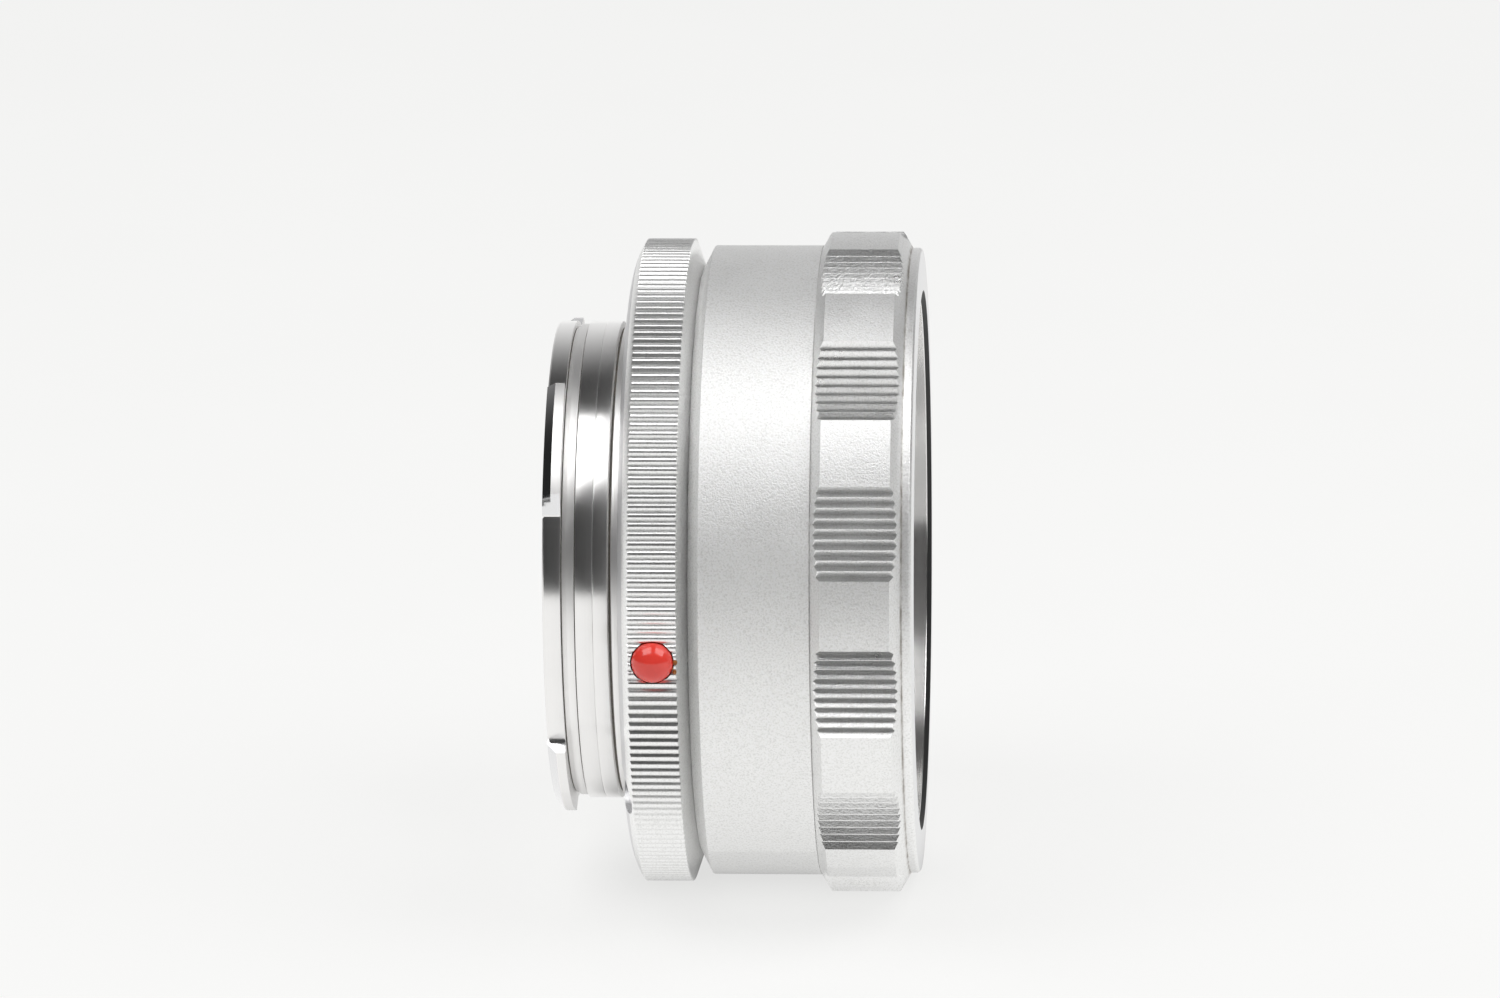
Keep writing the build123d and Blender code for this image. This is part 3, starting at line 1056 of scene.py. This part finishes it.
class ADAPTER_OT_front_ring(bpy.types.Operator):
    """Turns the front ring and winds its lens thread"""

    bl_idname = "adapter.front_ring"
    bl_label = "Front ring"

    def execute(self, context):
        settings = context.scene.adapter
        s = settings.tube
        root = s.thread_radius + s.thread_depth
        spigot = s.front_spigot - 0.04 * MM
        profile = [
            (s.grip_end, s.rim_radius),
            (s.front_face - 0.3 * MM, s.rim_radius),
            (s.front_face - 0.1 * MM, s.rim_radius - 0.2 * MM),
            (s.front_face, s.socket_radius + 0.45 * MM),
            (s.front_face - 0.45 * MM, s.socket_radius),
            (s.thread_seat, s.socket_radius),
            (s.thread_seat, root),
            (s.thread_start, root),
            (s.thread_start, spigot),
            (s.grip_end, spigot),
        ]
        ring = turn(profile, ROUND_STEPS)
        break_edges(ring, 0.04 * MM)
        # One ridge of the thread, wound up the bore.
        turns = (s.thread_seat - s.thread_start) / s.thread_pitch - 1.1
        start = s.thread_start + 0.05 * MM
        width = 0.46 * s.thread_pitch
        ridge = bmesh.new()
        outline = (
            (start, root + 0.1 * MM),
            (start + 0.42 * s.thread_pitch, s.thread_radius),
            (start + 0.54 * s.thread_pitch, s.thread_radius),
            (start + 0.5 * s.thread_pitch + width, root + 0.1 * MM),
        )
        corners = [ridge.verts.new((x, 0.0, r)) for x, r in outline]
        face = ridge.faces.new(corners)
        steps = round(turns * 128)
        bmesh.ops.spin(
            ridge,
            geom=[face, *face.edges, *corners],
            cent=(0, 0, 0),
            axis=(1, 0, 0),
            dvec=(s.thread_pitch * turns / steps, 0, 0),
            angle=tau * turns,
            steps=steps,
        )
        bmesh.ops.recalc_face_normals(ridge, faces=ridge.faces)
        join(ring, ridge)
        piece = new_object(ring, "front_ring_socket")
        dress(
            piece,
            "front_ring",
            "socket_chrome",
            satin_chrome("satin_chrome_rim", settings.colours.satin, 0.47, 0.04, s.grip_end),
            turned_chrome("polished_chrome_socket", settings.colours.polished, 0.25, 0.9),
            matt_paint("matt_black_paint_thread", settings.colours.black),
            turned_chrome("rubbed_chrome_face", settings.colours.rubbed, 0.3, 0.3),
        )
        wall = s.socket_radius + 0.02 * MM
        lip = s.rim_radius - 0.22 * MM
        socket_floor = s.thread_seat - 0.1 * MM
        mouth = s.front_face - 0.5 * MM

        def on_face(c):
            return wall < hypot(c.y, c.z) < lip

        paint_faces(piece, lambda c, n: hypot(c.y, c.z) < wall and c.x > socket_floor, 1)
        paint_faces(piece, lambda c, n: on_face(c) and c.x > mouth, 3)
        # The bevel inside the mouth gets the matt black paint.
        paint_faces(piece, lambda c, n: on_face(c) and inward(c, n) > 0.6, 2)
        paint_faces(piece, lambda c, n: hypot(c.y, c.z) < root + 0.2 * MM, 2)
        return {"FINISHED"}


class ADAPTER_OT_stage(bpy.types.Operator):
    """Lays the pale floor and sets the dark room, two soft boxes and the camera"""

    bl_idname = "adapter.stage"
    bl_label = "Stage"

    def floor(self, context):
        """A pale flat sheet under the adapter."""
        sheet = bmesh.new()
        bmesh.ops.create_grid(
            sheet,
            x_segments=1,
            y_segments=1,
            size=2.2,
            matrix=Matrix.Translation((0, 0, cad_low.z)),
        )
        piece = new_object(sheet, "paper_floor")
        material, tree = new_material("pale_paper")
        place = object_place(tree)
        fibre = remap(tree, noise(tree, place, 40.0, 2.0), (0.0, 1.0), (0.985, 1.0))
        paper = tint(tree, context.scene.adapter.colours.floor, fibre)
        matt = add(tree, "ShaderNodeBsdfDiffuse", {"Color": paper})
        path = add(tree, "ShaderNodeLightPath").outputs
        mirrored = maths(tree, "ADD", path["Is Glossy Ray"], path["Is Transmission Ray"])
        # Painted shade: under the adapter the paper's glow is dimmed, deepest along the line where it
        # nearly touches.
        middle = 11.0 * MM
        spot = add(tree, "ShaderNodeSeparateXYZ", {"Vector": place}).outputs
        along = maths(tree, "ABSOLUTE", maths(tree, "SUBTRACT", spot["X"], middle))
        ends = remap(tree, along, (8 * MM, 20 * MM), (0.8, 0.0), interpolation_type="SMOOTHSTEP")
        aside = maths(tree, "MULTIPLY", spot["Y"], per_metre(8.0))
        shade = maths(tree, "DIVIDE", ends, maths(tree, "MULTIPLY_ADD", aside, aside, 1.0))
        # The painted shade shows fully in the metal, and faintly on the paper itself, which is near
        # white.
        on_paper = 0.16
        share = maths(tree, "MULTIPLY_ADD", mirrored, 1 - on_paper, on_paper)
        lit = maths(tree, "SUBTRACT", 1.0, maths(tree, "MULTIPLY", shade, share))
        white = add(tree, "ShaderNodeEmission", {"Color": paper, "Strength": lit})
        # What is left of the matt paper takes the adapter's shadow.
        in_metal = maths(tree, "MULTIPLY", mirrored, 0.98)
        seen = maths(tree, "MULTIPLY_ADD", path["Is Camera Ray"], 0.81, in_metal)
        shader = add(
            tree,
            "ShaderNodeMixShader",
            {0: seen, 1: matt.outputs[0], 2: white.outputs[0]},
        )
        add(tree, "ShaderNodeOutputMaterial", {"Surface": shader.outputs[0]})
        piece.data.materials.append(material)

    def room(self, context):
        """A dim room whose far wall, behind the adapter, is lit from below."""
        world = bpy.data.worlds.new("dim_room")
        context.scene.world = world
        world.use_nodes = True
        tree = world.node_tree
        tree.nodes.clear()
        way = add(tree, "ShaderNodeTexCoord").outputs["Generated"]
        parts = add(tree, "ShaderNodeSeparateXYZ", {"Vector": way}).outputs
        wall = maths(tree, "POWER", remap(tree, parts["Y"], (0.4, 1.0), (0.0, 1.0)), 1.6)
        side = remap(tree, parts["X"], (-0.9, -0.3), (0.02, 0.055))
        glow = maths(tree, "MULTIPLY_ADD", wall, 0.74, side)
        dim = add(tree, "ShaderNodeBackground", {"Color": glow, "Strength": 1.0})
        add(tree, "ShaderNodeOutputWorld", {"Surface": dim.outputs[0]})

    def lamp(self, context, name, focus, aim):
        """One soft box that faces the adapter from a direction."""
        data = bpy.data.lights.new(name, "AREA")
        data.shape = "RECTANGLE"
        data.size = SOFT_BOX_WIDTH
        data.size_y = SOFT_BOX_HEIGHT
        data.energy = SOFT_BOX_WATTS
        box = bpy.data.objects.new(name, data)
        context.scene.collection.objects.link(box)
        box.location = focus + SOFT_BOX_DISTANCE * aim
        # The long sides run with the adapter's axis, so the bands that they draw on it are straight.
        axis = Vector((1, 0, 0))
        wide = (axis - axis.dot(aim) * aim).normalized()
        turned = Matrix((wide, aim.cross(wide), aim)).transposed()
        box.rotation_mode = "QUATERNION"
        box.rotation_quaternion = turned.to_quaternion()

    def execute(self, context):
        self.floor(context)
        self.room(context)
        # The camera looks a little from the lens side and from above.
        focus = Vector((9.956 * MM, 0.0, 0.0))
        yaw = radians(3.13)
        lift = radians(16.5)
        toward = Vector((sin(yaw), -cos(yaw) * cos(lift), cos(yaw) * sin(lift)))
        axis = Vector((1, 0, 0))
        right = (axis - axis.dot(toward) * toward).normalized()
        up = toward.cross(right)
        for name, (aside, above, front) in SOFT_BOXES.items():
            aim = (aside * right + above * up + front * toward).normalized()
            self.lamp(context, name, focus, aim)
        data = bpy.data.cameras.new("photo_camera")
        data.sensor_width = 36.0
        data.lens = 201.6
        data.clip_start = 0.01
        camera = bpy.data.objects.new("photo_camera", data)
        context.scene.collection.objects.link(camera)
        roll = Matrix.Rotation(radians(0.19), 3, toward)
        right = roll @ right
        # The adapter's axis lies a little below the middle of the picture, in pixels.
        axis_below = 60.5
        lens_pixels = 8400
        tip = Matrix.Rotation(atan(axis_below / lens_pixels), 3, right)
        turned = Matrix((right, tip @ roll @ up, tip @ toward)).transposed().to_4x4()
        distance = 736.8 * MM
        camera.matrix_world = Matrix.Translation(focus + distance * toward) @ turned
        context.scene.camera = camera
        context.scene.view_settings.view_transform = "Standard"
        return {"FINISHED"}


class ADAPTER_PT_panel(bpy.types.Panel):
    """Lists the pieces of the adapter"""

    bl_idname = "ADAPTER_PT_panel"
    bl_label = "Lens Mount Adapter"
    bl_space_type = "VIEW_3D"
    bl_region_type = "UI"
    bl_category = "Adapter"

    def draw(self, context):
        for operator in OPERATORS:
            self.layout.operator(operator.bl_idname)


OPERATORS = (
    ADAPTER_OT_bayonet,
    ADAPTER_OT_bayonet_screws,
    ADAPTER_OT_mount_ring,
    ADAPTER_OT_index_bead,
    ADAPTER_OT_barrel,
    ADAPTER_OT_grip_ring,
    ADAPTER_OT_front_ring,
    ADAPTER_OT_stage,
)
CLASSES = (
    BayonetSizes,
    RingSizes,
    TubeSizes,
    AdapterColours,
    AdapterSettings,
    *OPERATORS,
    ADAPTER_PT_panel,
)


def register():
    """Registers the classes and the scene's settings."""
    for item in CLASSES:
        bpy.utils.register_class(item)
    bpy.types.Scene.adapter = bpy.props.PointerProperty(type=AdapterSettings)


def unregister():
    """Removes what register added."""
    del bpy.types.Scene.adapter
    for item in reversed(CLASSES):
        bpy.utils.unregister_class(item)


def main():
    """Builds every piece and the stage."""
    register()
    bpy.ops.adapter.bayonet()
    bpy.ops.adapter.bayonet_screws()
    bpy.ops.adapter.mount_ring()
    bpy.ops.adapter.index_bead()
    bpy.ops.adapter.barrel()
    bpy.ops.adapter.grip_ring()
    bpy.ops.adapter.front_ring()
    bpy.ops.adapter.stage()


if __name__ == "__main__":
    main()
